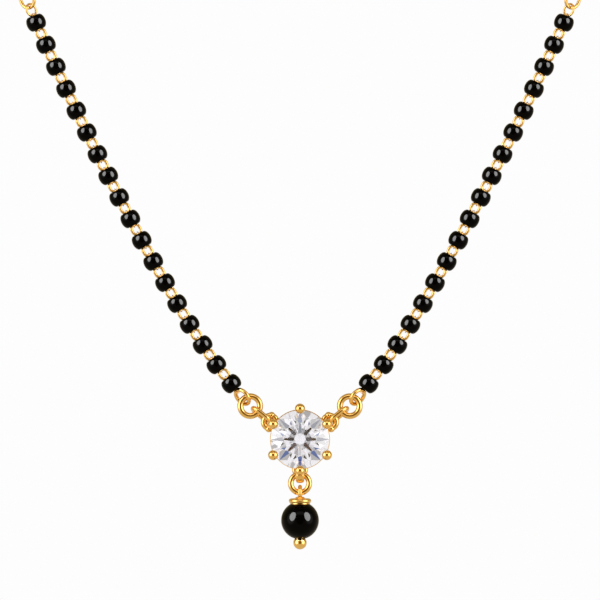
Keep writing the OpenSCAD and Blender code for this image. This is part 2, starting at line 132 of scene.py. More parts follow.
@dataclass
class Surface:
    """A grid of points over two parameters, whose last column joins its first.

    Args:
        points: array of rows by columns by 3, in millimetres.
        ring_rows: whether the last row joins the first too.
    """

    points: np.ndarray
    ring_rows: bool = False

    def quads(self) -> np.ndarray:
        """Joins each point to the next in its row and in its column.

        Returns:
            The four corner indices of each cell of the grid.
        """
        rows, columns = self.points.shape[:2]
        i = np.arange(rows if self.ring_rows else rows - 1)
        i, j = np.meshgrid(i, np.arange(columns), indexing="ij")
        here, below, beside = i * columns, (i + 1) % rows * columns, (j + 1) % columns
        corners = (here + j, here + beside, below + beside, below + j)
        return np.stack(corners, axis=-1).reshape(-1, 4)

    def turned(self, matrix: np.ndarray) -> "Surface":
        """Returns the surface after a turn about the origin."""
        return Surface(self.points @ matrix.T, self.ring_rows)

    def moved(self, by: np.ndarray) -> "Surface":
        """Returns the surface after a move."""
        return Surface(self.points + np.asarray(by, float), self.ring_rows)

    def mirrored(self) -> "Surface":
        """Returns the mirror image in the YZ plane."""
        return Surface(self.points * np.array([-1.0, 1.0, 1.0]), self.ring_rows)

    def hung(self, at: np.ndarray, lean: float, turn: float = 0.0) -> "Surface":
        """Returns the surface turned about its length, leant from upright and moved to its place."""
        return self.turned(turn_y(lean) @ turn_z(turn)).moved(at)

    def faced(self) -> "Surface":
        """Returns a surface that was made about +Z with its face towards -Y."""
        return self.turned(turn_x(90.0))


def swept(path: np.ndarray, outward: np.ndarray, sideways: np.ndarray, radius: np.ndarray | float,
          across: int = 20, closed: bool = False) -> Surface:
    """Carries a circle along a path.

    Point (row, column) is the path's point plus the radius times cos v along the outward vector and
    sin v along the sideways one. An open sweep gets a row at each end drawn in to the path's point.

    Args:
        path: points of the path.
        outward: unit vector across the path at each point.
        sideways: unit vector square to both, one for all points or one for each.
        radius: radius of the circle, one for all points or one for each.
        across: points round the circle.
        closed: whether the path's end joins its start.

    Returns:
        The swept surface.
    """
    v = np.linspace(0, 2 * math.pi, across, endpoint=False)[None, :, None]
    r = np.broadcast_to(np.asarray(radius, float), (len(path),))[:, None, None]
    sideways = np.broadcast_to(sideways, path.shape)
    points = path[:, None] + r * (np.cos(v) * outward[:, None] + np.sin(v) * sideways[:, None])
    if not closed:
        ends = [np.repeat(path[k][None, None], across, axis=1) for k in (0, -1)]
        points = np.concatenate([ends[0], points, ends[1]])
    return Surface(points, ring_rows=closed)


def torus(radius: float, wire: float, around: int = 72, across: int = 20) -> Surface:
    """Makes a ring of round wire about +Z: a circle of the wire carried round a circle of the radius.

    Args:
        radius: radius to the middle of the wire.
        wire: thickness of the wire.
        around: points round the ring.
        across: points round the wire.

    Returns:
        The ring.
    """
    u = np.linspace(0, 2 * math.pi, around, endpoint=False)
    outward = np.stack([np.cos(u), np.sin(u), np.zeros_like(u)], axis=-1)
    return swept(radius * outward, outward, np.array([0.0, 0.0, 1.0]), wire / 2, across, closed=True)


def oval_link(length: float, width: float, wire: float, bend: int = 14, across: int = 16) -> Surface:
    """Makes an oval link of round wire, its length along +Z and its face towards -Y.

    The path is two half circles joined by straights, given by the angle round the link.

    Args:
        length: length over all.
        width: width over all.
        wire: thickness of the wire.
        bend: steps round each half circle.
        across: points round the wire.

    Returns:
        The link.
    """
    r, straight = (width - wire) / 2, length - width
    half = np.linspace(0, math.pi, bend + 1)
    angle = np.concatenate([half, half + math.pi])
    outward = np.stack([np.cos(angle), np.zeros_like(angle), np.sin(angle)], axis=-1)
    lift = np.repeat([straight / 2, -straight / 2], bend + 1)
    path = r * outward + lift[:, None] * np.array([0.0, 0.0, 1.0])
    return swept(path, outward, np.array([0.0, 1.0, 0.0]), wire / 2, across, closed=True)


def lathe(profile: np.ndarray, around: int = 48, closed: bool = False) -> Surface:
    """Turns a profile about +Z: x = r cos u, y = r sin u, z = height.

    Args:
        profile: rows of (radius, height).
        around: points round the axis.
        closed: whether the profile's end joins its start.

    Returns:
        The turned surface.
    """
    u = np.linspace(0, 2 * math.pi, around, endpoint=False)[None, :]
    r, z = profile[:, 0][:, None], profile[:, 1][:, None]
    return Surface(np.stack([r * np.cos(u), r * np.sin(u), z + 0 * u], axis=-1), ring_rows=closed)


def arc(centre: tuple[float, float], radius: float, start: float, end: float, steps: int) -> np.ndarray:
    """Returns rows of (x, y) along an arc, its angles in degrees from +X."""
    a = np.radians(np.linspace(start, end, steps + 1))
    return np.stack([centre[0] + radius * np.cos(a), centre[1] + radius * np.sin(a)], axis=-1)


def ball(diameter: float, around: int = 40, steps: int = 24) -> Surface:
    """Makes a sphere as a half circle turned about +Z."""
    return lathe(arc((0, 0), diameter / 2, -90, 90, steps), around)


def rod(low: float, high: float, diameter: float, around: int = 20) -> Surface:
    """Makes a straight pin about +Z between two heights, closed at both ends."""
    r = diameter / 2
    return lathe(np.array([[0, low], [r, low], [r, high], [0, high]]), around)


# Finishes


def linear(hex_colour: str) -> Colour:
    """Turns an sRGB hex colour into a linear one.

    Args:
        hex_colour: the colour, such as "#d9a441".

    Returns:
        The linear colour, with alpha 1.
    """
    parts = [int(hex_colour[k:k + 2], 16) / 255 for k in (1, 3, 5)]
    rgb = [p / 12.92 if p <= 0.04045 else ((p + 0.055) / 1.055) ** 2.4 for p in parts]
    return (*rgb, 1.0)


def add_node(tree: bpy.types.NodeTree, kind: str, inputs: dict | None = None, stops: Stops = (),
             **settings) -> bpy.types.Node:
    """Adds a node with its settings and its inputs.

    Args:
        tree: the node tree that gets the node.
        kind: the node's type, such as "ShaderNodeMath".
        inputs: a value or another node's socket for each input, by name or number.
        stops: a colour ramp's places and linear colours, in rising order.
        settings: the node's own properties.

    Returns:
        The new node.
    """
    node = tree.nodes.new(kind)
    for key, value in settings.items():
        setattr(node, key, value)
    for key, value in (inputs or {}).items():
        if isinstance(value, bpy.types.NodeSocket):
            tree.links.new(value, node.inputs[key])
        else:
            node.inputs[key].default_value = value
    if stops:
        while len(node.color_ramp.elements) < len(stops):
            node.color_ramp.elements.new(1.0)
        for element, (place, colour) in zip(node.color_ramp.elements, stops):
            element.position = place
            element.color = (*colour, 1.0)
    return node


def new_material(name: str) -> tuple[bpy.types.Material, bpy.types.NodeTree]:
    """Makes an empty node material.

    Args:
        name: the material's name.

    Returns:
        The material and its node tree.
    """
    material = bpy.data.materials.new(name)
    material.use_nodes = True
    material.node_tree.nodes.clear()
    return material, material.node_tree


def surface_noise(tree: bpy.types.NodeTree, size_mm: float, detail: float = 2.0) -> bpy.types.Node:
    """Adds noise on Object coordinates whose features are about size_mm across."""
    place = add_node(tree, "ShaderNodeTexCoord")
    return add_node(tree, "ShaderNodeTexNoise",
                    {"Vector": place.outputs["Object"], "Scale": 1 / (size_mm * MM), "Detail": detail})


@dataclass(frozen=True)
class PolishedGoldPlate:
    """Yellow gold plate on brass, polished and lacquered.

    Plating over polished brass gives a warm mirror. The clear lacquer adds a thin white gloss over
    it, and tumbling leaves faint scuffs and a ripple that is less than a micrometre deep.
    """

    name: str = "polished gold plate"
    slot: str = "gold"
    tone: str = "#f8cd72"
    worn_tone: str = "#f0bc58"
    worn: float = 0.6
    patch_mm: float = 1.6
    scuff_mm: float = 0.35
    ripple_mm: float = 0.55
    ripple_depth_mm: float = 0.0006
    smooth: float = 0.11
    scuffed: float = 0.15
    lacquer: float = 1.0
    lacquer_index: float = 1.6
    lacquer_haze: float = 0.08

    @cached_property
    def material(self) -> bpy.types.Material:
        """The Blender material."""
        material, tree = new_material(self.name)
        patches = add_node(tree, "ShaderNodeMapRange", {
            "Value": surface_noise(tree, self.patch_mm).outputs["Fac"], **NOISE_SPAN,
            "To Min": 0.0, "To Max": self.worn})
        tone = add_node(tree, "ShaderNodeMix", {
            "Factor": patches.outputs["Result"], 6: linear(self.tone), 7: linear(self.worn_tone)},
            data_type="RGBA")
        scuffs = add_node(tree, "ShaderNodeMapRange", {
            "Value": surface_noise(tree, self.scuff_mm, 4.0).outputs["Fac"], **NOISE_SPAN,
            "To Min": self.smooth, "To Max": self.scuffed})
        relief = add_node(tree, "ShaderNodeBump", {
            "Height": surface_noise(tree, self.ripple_mm, 1.0).outputs["Fac"], "Strength": 1.0,
            "Distance": self.ripple_depth_mm * MM})
        metal = add_node(tree, "ShaderNodeBsdfPrincipled", {
            "Base Color": tone.outputs[2], "Metallic": 1.0, "Normal": relief.outputs["Normal"],
            "Roughness": scuffs.outputs["Result"], "Coat Weight": self.lacquer,
            "Coat Roughness": self.lacquer_haze, "Coat IOR": self.lacquer_index})
        add_node(tree, "ShaderNodeOutputMaterial", {"Surface": metal.outputs["BSDF"]})
        return material


@dataclass(frozen=True)
class BlackGlass:
    """Opaque black glass, fire polished.

    Fire polishing leaves a smooth skin with broad shallow waves, so the gloss is clear but its
    edges wander a little from bead to bead. The photo's beads show their lamps and hardly any of
    the room, so the specular level is low, and strong lamps light the glass alone.
    """

    name: str = "fire polished black glass"
    slot: str = "black_glass"
    tone: str = "#010101"
    wave_mm: float = 1.1
    wave_depth_mm: float = 0.006
    haze_mm: float = 0.4
    smooth: float = 0.06
    dulled: float = 0.1
    index: float = 1.5
    mirror: float = 0.05

    @cached_property
    def material(self) -> bpy.types.Material:
        """The Blender material."""
        material, tree = new_material(self.name)
        haze = add_node(tree, "ShaderNodeMapRange", {
            "Value": surface_noise(tree, self.haze_mm, 3.0).outputs["Fac"], **NOISE_SPAN,
            "To Min": self.smooth, "To Max": self.dulled})
        relief = add_node(tree, "ShaderNodeBump", {
            "Height": surface_noise(tree, self.wave_mm, 1.0).outputs["Fac"], "Strength": 1.0,
            "Distance": self.wave_depth_mm * MM})
        glass = add_node(tree, "ShaderNodeBsdfPrincipled", {
            "Base Color": linear(self.tone), "Normal": relief.outputs["Normal"], "IOR": self.index,
            "Specular IOR Level": self.mirror, "Roughness": haze.outputs["Result"]})
        add_node(tree, "ShaderNodeOutputMaterial", {"Surface": glass.outputs["BSDF"]})
        return material


@dataclass(frozen=True)
class CutZirconia:
    """Clear cubic zirconia, cut flat and polished.

    Its high index turns most light back inside the stone, so the facets flash white or go dark.
    """

    name: str = "cut cubic zirconia"
    slot: str = "stone"
    tone: str = "#fdfdff"
    index: float = 2.16

    @cached_property
    def material(self) -> bpy.types.Material:
        """The Blender material."""
        material, tree = new_material(self.name)
        stone = add_node(tree, "ShaderNodeBsdfPrincipled", {
            "Base Color": linear(self.tone), "Roughness": 0.0, "IOR": self.index,
            "Transmission Weight": 1.0})
        add_node(tree, "ShaderNodeOutputMaterial", {"Surface": stone.outputs["BSDF"]})
        return material


GOLD = PolishedGoldPlate()
BLACK_GLASS = BlackGlass()
ZIRCONIA = CutZirconia()


@dataclass
class Piece:
    """One visible piece of the necklace.

    Args:
        node: the CAD node that it stands for.
        surfaces: its closed surfaces, in millimetres.
        finish: what it is made of.
        body: the CAD body that it moves with.
    """

    node: str
    surfaces: list[Surface]
    finish: PolishedGoldPlate | BlackGlass = GOLD
    body: Body = Body.NECKLACE

    def build(self) -> bpy.types.Object:
        """Makes the mesh, dresses it and ties it to its node and body.

        Returns:
            The finished object.
        """
        points = [s.points.reshape(-1, 3) for s in self.surfaces]
        starts = np.cumsum([0] + [len(p) for p in points[:-1]])
        quads = np.concatenate([s.quads() + start for s, start in zip(self.surfaces, starts)])
        mesh = bpy.data.meshes.new(self.node + "_skin")
        mesh.from_pydata((np.concatenate(points) * MM).tolist(), [], quads.tolist())
        work = bmesh.new()
        work.from_mesh(mesh)
        bmesh.ops.remove_doubles(work, verts=work.verts, dist=MERGE_M)
        bmesh.ops.recalc_face_normals(work, faces=work.faces)
        work.to_mesh(mesh)
        work.free()
        mesh.shade_smooth()
        mesh.set_sharp_from_angle(angle=math.radians(SHARP_DEG))
        mesh.materials.append(self.finish.material)
        piece = bpy.data.objects.new(self.node + "_skin", mesh)
        bpy.context.scene.collection.objects.link(piece)
        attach(piece, self.body.value)
        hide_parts(self.node)
        return piece


# The necklace's own parts


@dataclass(frozen=True)
class Gaps:
    """Clearances between neighbouring pieces, in millimetres."""

    link: float = 0.1
    turned: float = 0.03
    eye: float = 0.05
    seat: float = 0.04
    bore: float = 0.1
    mouth: float = 0.11
    hinge: float = 0.12
    pin: float = 0.05

    def hook(self, wire_a: float, wire_b: float) -> float:
        """Returns the distance between the middles of two linked wires."""
        return (wire_a + wire_b) / 2 + self.link

    def inside(self, r: float, wire_a: float, wire_b: float) -> float:
        """Returns how far from a ring's middle the linked wire passes."""
        return r - self.hook(wire_a, wire_b)

    def eye_r(self, held: float, own: float) -> float:
        """Returns the radius of an eye that holds a wire."""
        return held / 2 + self.eye + own / 2


GAPS = Gaps()


@dataclass
class Stone:
    """The round brilliant. The CAD node's own flat facets stay, and it gets its clear finish."""

    diameter: float = 7.8
    table_share: float = 0.56
    crown_slope: float = 34.5
    pavilion_slope: float = 41.0
    girdle_h: float = 0.26

    @property
    def r(self) -> float:
        """Radius of the girdle."""
        return self.diameter / 2

    @property
    def crown_h(self) -> float:
        """Height of the table above the girdle."""
        return (self.r - self.r * self.table_share) * math.tan(math.radians(self.crown_slope))

    @property
    def culet_z(self) -> float:
        """Height of the stone's point."""
        return -self.girdle_h / 2 - self.r * math.tan(math.radians(self.pavilion_slope))

    def room(self, z: np.ndarray) -> np.ndarray:
        """Works out the room that the metal leaves the stone: a girdle band between two cones.

        Args:
            z: heights in the stone's own frame.

        Returns:
            The radius that is free at each height.
        """
        out, half = self.r + GAPS.seat, self.girdle_h / 2
        depth = out * math.tan(math.radians(self.pavilion_slope))
        rim = out - self.crown_h / math.tan(math.radians(self.crown_slope))
        top = half + self.crown_h
        heights = [-half - depth, -half, half, top, top + 1e-6]
        return np.interp(z, heights, [0, out, out, rim, 0], left=0, right=0)

    def dress(self, nodes: dict[str, bpy.types.Object]) -> None:
        """Gives the CAD node its finish.

        Args:
            nodes: the CAD nodes by name.
        """
        node = nodes["stone"]
        node.data.materials.clear()
        node.data.materials.append(ZIRCONIA.material)


@dataclass
class Setting:
    """Six ball prongs on a rail and a base ring, with two eye rings and the bail soldered on."""

    stone: Stone
    prongs: int = 6
    first_prong: float = 30.0
    prong_wire: float = 0.72
    leg_wire: float = 0.68
    prong_ball_d: float = 1.36
    prong_bite: float = 0.13
    prong_upright: float = 0.36
    knee_round: float = 0.3
    taper: tuple[float, float] = (-0.6, 0.2)
    rail_wire: float = 0.5
    rail_show: float = 0.1
    base_ring_d: float = 5.0
    base_wire: float = 0.72
    culet_cover: float = 0.15
    lug_d: float = 2.5
    lug_wire: float = 0.8
    lug_reach: float = 0.7
    lug_ball_d: float = 0.96
    lug_ball_tilt: float = 12.0
    lug_ball_out: float = 0.06
    string_y: float = 1.3
    bail_w: float = 1.14
    bail_t: float = 0.68
    bail_ring_d: float = 2.16
    bail_ring_wire: float = 0.72
    bail_ring_back: float = 1.1
    bail_ring_lift: float = 0.6
    hinge_reach: float = 0.75
    drop_y: float = 1.3
    drop_ring_wire: float = 0.78

    @property
    def prong_at(self) -> float:
        """Distance of a prong's upright from the stone's axis."""
        return self.stone.r + self.prong_wire / 2 - self.prong_bite

    @property
    def prong_ball_z(self) -> float:
        """Height of a prong's ball, at which it clears the crown."""
        slope = math.radians(self.stone.crown_slope)
        lift = self.prong_ball_d / 2 + GAPS.seat - (self.prong_at - self.stone.r) * math.sin(slope)
        return self.stone.girdle_h / 2 + lift / math.cos(slope)

    @property
    def knee_z(self) -> float:
        """Height of the bend in a prong."""
        return -self.stone.girdle_h / 2 - self.prong_upright

    @property
    def rail_r(self) -> float:
        """Radius to the middle of the rail's wire."""
        return self.stone.r + self.rail_show - self.rail_wire / 2

    @property
    def rail_z(self) -> float:
        """Height of the rail, at which it clears the pavilion."""
        slope = math.radians(self.stone.pavilion_slope)
        drop = self.rail_wire / 2 + GAPS.seat + (self.stone.r - self.rail_r) * math.sin(slope)
        return -self.stone.girdle_h / 2 - drop / math.cos(slope)

    @property
    def base_z(self) -> float:
        """Height of the base ring."""
        return self.stone.culet_z - self.culet_cover + self.base_wire / 2

    @property
    def lug_r(self) -> float:
        """Radius to the middle of an eye ring's wire."""
        return (self.lug_d - self.lug_wire) / 2

    @property
    def lug_at(self) -> np.ndarray:
        """Middle of the eye ring on the +X side."""
        reach, angle = self.stone.r + self.lug_reach, math.radians(self.first_prong)
        return np.array([reach * math.cos(angle), self.string_y, reach * math.sin(angle)])

    @property
    def hinge_z(self) -> float:
        """Height of the bail's middle."""
        return -self.stone.r - self.hinge_reach

    def prong(self, angle: float) -> list[Surface]:
        """Makes one prong: a ball, and a stem with a round knee, cut to the stone's room inside.

        The stem's path is a straight, a quadratic bend about the knee and a straight to the base ring.
        A point that lies nearer to the stone's axis than the room's radius is moved out to that radius.

        Args:
            angle: degrees from +X round the stone.

        Returns:
            The stem and the ball.
        """
        top = np.array([self.prong_at, 0.0, self.prong_ball_z])
        knee = np.array([self.prong_at, 0.0, self.knee_z])
        foot = np.array([self.base_ring_d / 2, 0.0, self.base_z])
        leg = (foot - knee) / np.linalg.norm(foot - knee)
        before, after = knee + np.array([0, 0, self.knee_round]), knee + self.knee_round * leg
        t = np.linspace(0, 1, 12)[:, None]
        bend = (1 - t) ** 2 * before + 2 * (1 - t) * t * knee + t ** 2 * after
        upright, lower = np.linspace(top, before, 30)[:-1], np.linspace(after, foot, 12)[1:]
        path = np.concatenate([upright, bend, lower])
        along = np.gradient(path, axis=0)
        along /= np.linalg.norm(along, axis=1)[:, None]
        sideways = np.array([0.0, 1.0, 0.0])
        thick = np.interp(path[:, 2] - self.knee_z, self.taper, [self.leg_wire, self.prong_wire])
        stem = swept(path, np.cross(along, sideways), sideways, thick / 2, across=32)
        flat = stem.points
        reach = np.hypot(flat[..., 0], flat[..., 1])
        out = np.maximum(1.0, self.stone.room(flat[..., 2]) / reach)
        flat[..., :2] *= out[..., None]
        tip = ball(self.prong_ball_d).moved(top)
        return [s.turned(turn_z(angle)).faced() for s in (stem, tip)]

    def lug(self) -> list[Surface]:
        """Makes the eye ring on the +X side.

        Returns:
            The ring and its two solder balls.
        """
        out = [torus(self.lug_r, self.lug_wire).faced().moved(self.lug_at)]
        reach = np.array([self.lug_r + self.lug_ball_out, 0, 0])
        for angle in (90, 270):
            place = turn_y(-angle - self.lug_ball_tilt) @ reach
            out.append(ball(self.lug_ball_d).moved(place + self.lug_at))
        return out

    def bail(self) -> list[Surface]:
        """Makes the loop of round-edged band about X, and the eye ring behind it.

        The band's section is two half circles joined by straights, turned about the loop's axis.

        Returns:
            The band and the ring.
        """
        half_flat, r = (self.bail_w - self.bail_t) / 2, self.bail_t / 2
        middle = self.drop_ring_wire / 2 + GAPS.hinge + r
        section = np.concatenate([
            arc((middle, half_flat), r, 0, 180, 14), arc((middle, -half_flat), r, 180, 360, 14)])
        band = lathe(section, 64, closed=True).turned(turn_y(90))
        ring = torus((self.bail_ring_d - self.bail_ring_wire) / 2, self.bail_ring_wire).faced()
        ring = ring.moved((0, self.bail_ring_back, self.bail_ring_lift))
        return [s.moved((0, self.drop_y, self.hinge_z)) for s in (band, ring)]

    def pieces(self) -> list[Piece]:
        """Makes the setting.

        Returns:
            The one soldered piece.
        """
        step = 360 / self.prongs
        surfaces = [s for k in range(self.prongs) for s in self.prong(self.first_prong + step * k)]
        rail = torus(self.rail_r, self.rail_wire, 160).moved((0, 0, self.rail_z))
        base = torus(self.base_ring_d / 2, self.base_wire, 128).moved((0, 0, self.base_z))
        lug = self.lug()
        surfaces += [rail.faced(), base.faced(), *lug, *(s.mirrored() for s in lug), *self.bail()]
        return [Piece("setting", [s.moved(PENDANT_AT) for s in surfaces])]


@dataclass
class Drop:
    """The black bead below the pendant with its ring, its cap with an eye, and its head pin."""

    setting: Setting
    ring_d: float = 3.24
    eye_wire: float = 0.56
    eye_ease: float = 0.025
    eye_sink: float = 0.07
    cap_d: float = 3.0
    cap_rim: float = 0.68
    cap_seat: float = 0.07
    cap_cone: float = 0.56
    cap_neck_d: float = 0.9
    cap_rim_in: float = 0.05
    cap_shoulder: float = 0.93
    cap_sag: float = 0.08
    cap_rim_arc: tuple[float, float] = (84.0, -60.0)
    pin_hold: float = 0.28
    bead_d: float = 5.05
    end_ball_d: float = 1.78
    ball_seat: float = 0.42
    head_pin_d: float = 0.64

    @property
    def ring_r(self) -> float:
        """Radius to the middle of the ring's wire."""
        return (self.ring_d - self.setting.drop_ring_wire) / 2

    @property
    def eye_z(self) -> float:
        """Height at which the cap's eye holds the ring."""
        return self.setting.hinge_z - 2 * self.ring_r

    @property
    def eye_r(self) -> float:
        """Radius to the middle of the eye's wire."""
        return self.setting.drop_ring_wire / 2 + GAPS.hinge + self.eye_wire / 2 - self.eye_ease

    @property
    def cap_z(self) -> float:
        """Height of the middle of the cap's rim."""
        return self.eye_z - self.eye_r - self.eye_wire / 2 - self.eye_sink

    @property
    def bead_z(self) -> float:
        """Height of the bead's middle."""
        return self.cap_z - self.cap_seat - self.bead_d / 2

    @property
    def end_z(self) -> float:
        """Height of the middle of the ball under the bead."""
        return self.bead_z - self.bead_d / 2 - self.end_ball_d / 2 + self.ball_seat

    def cap(self) -> Surface:
        """Makes the cap: a hollow cone with a round rim, dished underneath to sit on the bead.

        The profile runs from the top of the axis down the cone, round the rim, in along a circle that
        clears the bead, and up the wall of the pin's bore.

        Returns:
            The cap without its eye.
        """
        rim_r, r = self.cap_d / 2 - self.cap_rim / 2, self.cap_rim / 2
        bore = self.head_pin_d / 2 + GAPS.pin
        hollow = self.bead_d / 2 + GAPS.seat
        top = self.cap_z + self.cap_cone
        slope = np.linspace(0, 1, 8)[:, None]
        neck = np.array([self.cap_neck_d / 2, top])
        shoulder = np.array([rim_r - self.cap_rim_in, self.cap_z + self.cap_shoulder * r])
        cone = neck + slope * (shoulder - neck)
        cone[:, 1] -= self.cap_sag * np.sin(np.pi * slope[:, 0])
        rim = arc((rim_r, self.cap_z), r, *self.cap_rim_arc, 18)
        edge = math.degrees(math.acos(rim[-1][0] / hollow))
        dish = arc((0, self.bead_z), hollow, edge, math.degrees(math.acos(bore / hollow)), 12)
        roof = self.bead_z + self.bead_d / 2 + self.pin_hold + GAPS.pin
        profile = np.concatenate([[[0, top]], cone, rim, dish, [[bore, roof], [0, roof]]])
        return lathe(profile, 72)

    def bead(self) -> Surface:
        """Makes the bead: a circle turned about +Z, drilled for the pin and dished for its ball.

        Returns:
            The bead, as a closed profile turned round its bore.
        """
        bore = self.head_pin_d / 2 + GAPS.pin
        seat, r = self.end_ball_d / 2 + GAPS.seat, self.bead_d / 2
        gap = self.bead_z - self.end_z
        # Height above the bead's middle of the circle in which the seat's sphere cuts the bead
        rim_z = (seat ** 2 - r ** 2 - gap ** 2) / (2 * gap)
        rim_r = math.sqrt(r ** 2 - rim_z ** 2)
        start = math.degrees(math.acos(bore / r))
        skin = arc((0, self.bead_z), r, start, -math.degrees(math.acos(rim_r / r)), 48)
        up = math.degrees(math.atan2(rim_z + gap, rim_r))
        dish = arc((0, self.end_z), seat, up, math.degrees(math.acos(bore / seat)), 10)[1:]
        return lathe(np.concatenate([skin, dish]), 80, closed=True)

    def pin(self) -> Surface:
        """Makes the head pin: a ball with a straight pin out of its top.

        Returns:
            The pin.
        """
        r, pin_r = self.end_ball_d / 2, self.head_pin_d / 2
        head = arc((0, self.end_z), r, -90, math.degrees(math.acos(pin_r / r)), 30)
        tip = self.bead_z + self.bead_d / 2 + self.pin_hold
        return lathe(np.concatenate([head, [[pin_r, tip], [0, tip]]]), 48)

    def pieces(self) -> list[Piece]:
        """Makes the drop, in the middle of the pendant.

        Returns:
            The ring, the cap with its eye, the bead and the head pin.
        """
        at = PENDANT_AT + np.array([0, self.setting.drop_y, 0])
        ring_at = at + np.array([0, 0, self.setting.hinge_z - self.ring_r])
        ring = torus(self.ring_r, self.setting.drop_ring_wire, 96, 28).faced().moved(ring_at)
        eye = torus(self.eye_r, self.eye_wire, 72, 28).turned(turn_y(90)).moved((0, 0, self.eye_z))
        return [
            Piece("drop_ring", [ring], body=Body.HANGER),
            Piece("drop_cap", [eye.moved(at), self.cap().moved(at)], body=Body.DROP),
            Piece("drop_bead", [self.bead().moved(at)], BLACK_GLASS, Body.DROP),
            Piece("head_pin", [self.pin().moved(at)], body=Body.DROP),
        ]


@dataclass
class SideLinks:
    """The oval link, the big jump ring and the turned link that join the setting to a string."""

    setting: Setting
    jump_d: float = 3.44
    jump_wire: float = 0.82
    end_d: float = 2.8
    end_wire: float = 0.54
    end_turn: float = 54.0
    bar_l: float = 3.5
    bar_w: float = 2.3
    bar_wire: float = 0.62
    bar_lean: float = 51.4
    bar_roll: float = -15.0
    end_lean: float = 40.3

    @property
    def bar_reach(self) -> float:
        """Distance from the eye ring's middle to the far wire of the oval link."""
        near = GAPS.inside(self.setting.lug_r, self.setting.lug_wire, self.bar_wire)
        return near + self.bar_l - self.bar_wire

    @property
    def jump_r(self) -> float:
        """Radius to the middle of the jump ring's wire."""
        return (self.jump_d - self.jump_wire) / 2

    @property
    def end_r(self) -> float:
        """Radius to the middle of the turned link's wire."""
        return (self.end_d - self.end_wire) / 2

    @property
    def jump_at(self) -> np.ndarray:
        """Middle of the jump ring."""
        reach = self.bar_reach + GAPS.inside(self.jump_r, self.jump_wire, self.bar_wire)
        return self.setting.lug_at + reach * leant(self.bar_lean)

    @property
    def end_at(self) -> np.ndarray:
        """Middle of the turned link."""
        reach = GAPS.inside(self.jump_r, self.jump_wire, self.end_wire) - GAPS.turned + self.end_r
        return self.jump_at + reach * leant(self.end_lean)

    def surfaces(self) -> dict[str, Surface]:
        """Makes the three links of the +X side.

        Returns:
            Each link by its name without the side.
        """
        reach = self.bar_reach - (self.bar_l - self.bar_wire) / 2
        middle = self.setting.lug_at + reach * leant(self.bar_lean)
        bar = oval_link(self.bar_l, self.bar_w, self.bar_wire, 28, 24)
        end = torus(self.end_r, self.end_wire, 80, 24).faced()
        return {
            "bar_link": bar.hung(middle, self.bar_lean, 90 + self.bar_roll),
            "jump_ring": torus(self.jump_r, self.jump_wire, 96, 28).faced().moved(self.jump_at),
            "end_link": end.hung(self.end_at, self.end_lean, self.end_turn),
        }

    def pieces(self) -> list[Piece]:
        """Makes the links of both sides."""
        return [Piece(f"{name}_{side.value}", [on_side(s, side)])
                for side in Side for name, s in self.surfaces().items()]


def on_side(surface: Surface, side: Side, at: np.ndarray = PENDANT_AT) -> Surface:
    """Puts a surface made for the +X side on the named side, and then moves it."""
    return (surface.mirrored() if side is Side.LEFT else surface).moved(at)


